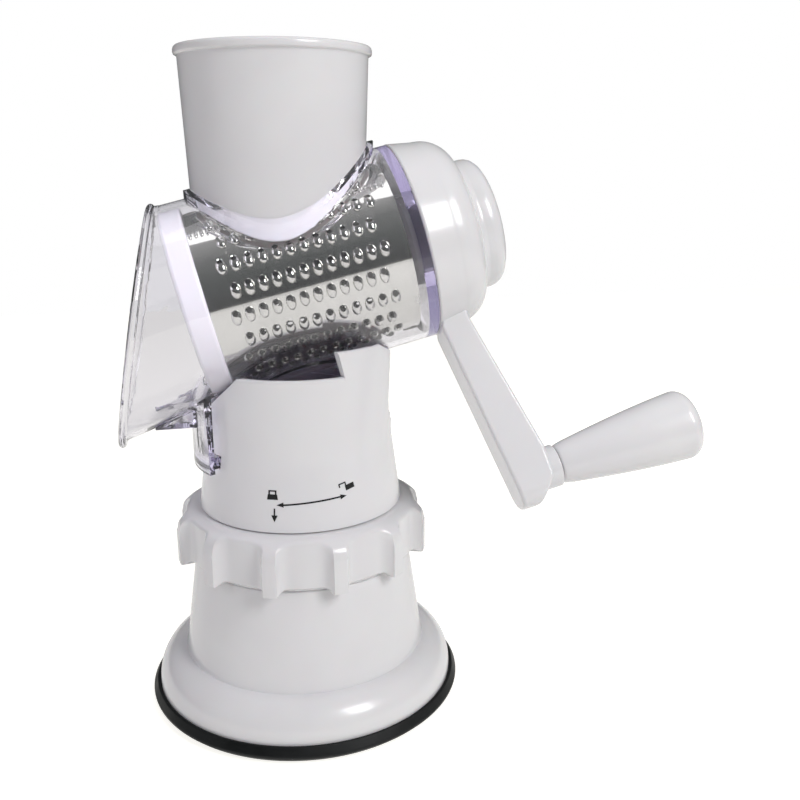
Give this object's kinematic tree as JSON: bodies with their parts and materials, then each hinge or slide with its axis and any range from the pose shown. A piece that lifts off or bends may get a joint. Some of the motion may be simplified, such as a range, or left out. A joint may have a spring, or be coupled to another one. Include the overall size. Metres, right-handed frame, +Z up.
{
  "type": "rotary cheese grater",
  "caption": "Hand-cranked rotary cheese grater: a steel grating drum in a clear housing with a feed hopper, on a column with a suction base and lock ring.",
  "frame": {"origin": "centre of the suction face, on the surface the grater stands on", "axes": "+Z up, +X towards the crank end of the drum, outlet mouth towards -X"},
  "size_m": [0.2185, 0.13, 0.2566],
  "materials": {
    "white_plastic": "glossy injection-moulded",
    "clear_plastic": "clear, polished",
    "drum_steel": "polished stainless sheet",
    "plain_steel": "plain zinc-plated or stainless hardware",
    "black_rubber": "matt black rubber",
    "bearing_plastic": "natural acetal"
  },
  "bodies": {
    "stand": {"suction_pad": "black_rubber", "base_shell": "white_plastic", "column": "white_plastic", "column_screws": "plain_steel", "clear_housing": "clear_plastic", "hopper": "white_plastic", "crank_bush": "bearing_plastic"},
    "lock_ring": {"lock_ring": "white_plastic"},
    "suction_lift": {"lifter": "bearing_plastic", "cam_pin": "plain_steel", "pad_stud": "plain_steel", "return_spring": "plain_steel"},
    "crank": {"crank_arm": "white_plastic", "crank_cap": "white_plastic", "drive_shaft": "plain_steel", "shaft_clip": "plain_steel", "shaft_washer": "plain_steel", "shaft_screw": "plain_steel", "drum_shell": "drum_steel", "drum_rivets": "drum_steel", "drum_front_ring": "white_plastic", "drum_rear_hub": "white_plastic", "grip_spindle": "plain_steel", "spindle_nut": "plain_steel", "grip_washer": "plain_steel"},
    "grip": {"grip": "white_plastic", "grip_end_cap": "white_plastic"}
  },
  "joints": [
    {"name": "crank_spin", "type": "hinge", "parent": "stand", "child": "crank", "pos_m": [0, 0, 0.1737], "axis": [0.9703, 0, 0.2419], "continuous": true},
    {"name": "grip_spin", "type": "hinge", "parent": "crank", "child": "grip", "pos_m": [0.0215, -0.04865, 0.08748], "axis": [0.9703, 0, 0.2419], "continuous": true},
    {"name": "lock_ring_turn", "type": "hinge", "parent": "stand", "child": "lock_ring", "pos_m": [0, 0, 0], "axis": [0, 0, -1], "range_deg": [0, 45]},
    {"name": "suction_lift", "type": "slide", "parent": "stand", "child": "suction_lift", "axis": [0, 0, 1], "range_m": [0, 0.004], "deforming": ["return_spring", "suction_pad"]}
  ],
  "couplings": [
    {"joint": "suction_lift", "follows": "lock_ring_turn", "m_per_rad": 0.005093}
  ]
}
